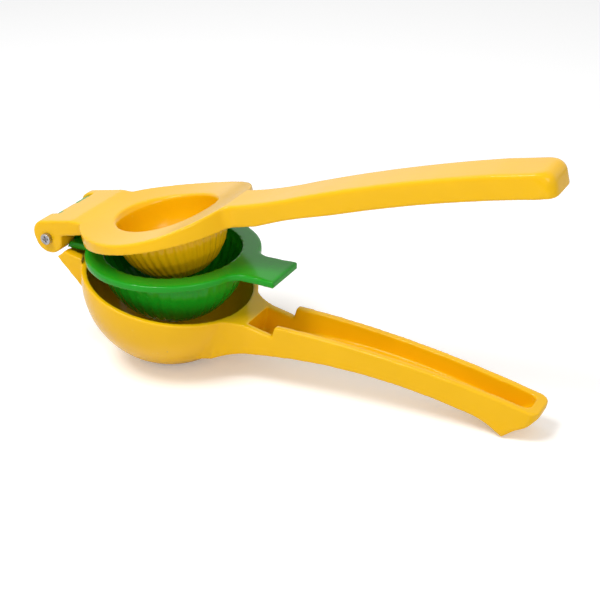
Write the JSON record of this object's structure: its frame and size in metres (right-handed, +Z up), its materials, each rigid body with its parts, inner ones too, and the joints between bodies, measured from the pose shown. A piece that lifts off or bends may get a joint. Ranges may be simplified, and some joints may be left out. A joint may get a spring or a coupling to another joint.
{
  "type": "hinged lemon squeezer",
  "caption": "Hand-held hinged citrus squeezer: a ribbed dome on the upper lever presses into a ribbed cup over an open bowl when the two handles are squeezed together",
  "frame": {"origin": "centre of the footprint of the whole squeezer, on the surface that the bowl and the heel of the lower handle stand on", "axes": "+X from the hinge towards the ends of the handles, +Y along the hinge axis away from the screw, +Z up"},
  "size_m": [0.2172, 0.0724, 0.105],
  "materials": {
    "yellow_enamel": "glossy sprayed enamel over cast aluminium",
    "green_enamel": "glossy sprayed enamel over cast aluminium",
    "hinge_steel": "bright zinc-plated steel"
  },
  "bodies": {
    "lower": {"bowl_and_handle": "yellow_enamel"},
    "insert": {"cup": "green_enamel"},
    "lever": {"press": "yellow_enamel", "hinge_post": "hinge_steel", "hinge_screw": "hinge_steel"}
  },
  "joints": [
    {"name": "cup_hinge", "type": "hinge", "parent": "lower", "child": "insert", "pos_m": [-0.10138, 0, 0.05251], "axis": [0, -1, 0], "range_deg": [-11.9, 63.1]},
    {"name": "lever_hinge", "type": "hinge", "parent": "insert", "child": "lever", "pos_m": [-0.10138, 0, 0.05251], "axis": [0, -1, 0], "range_deg": [-11.1, 107.2]}
  ]
}
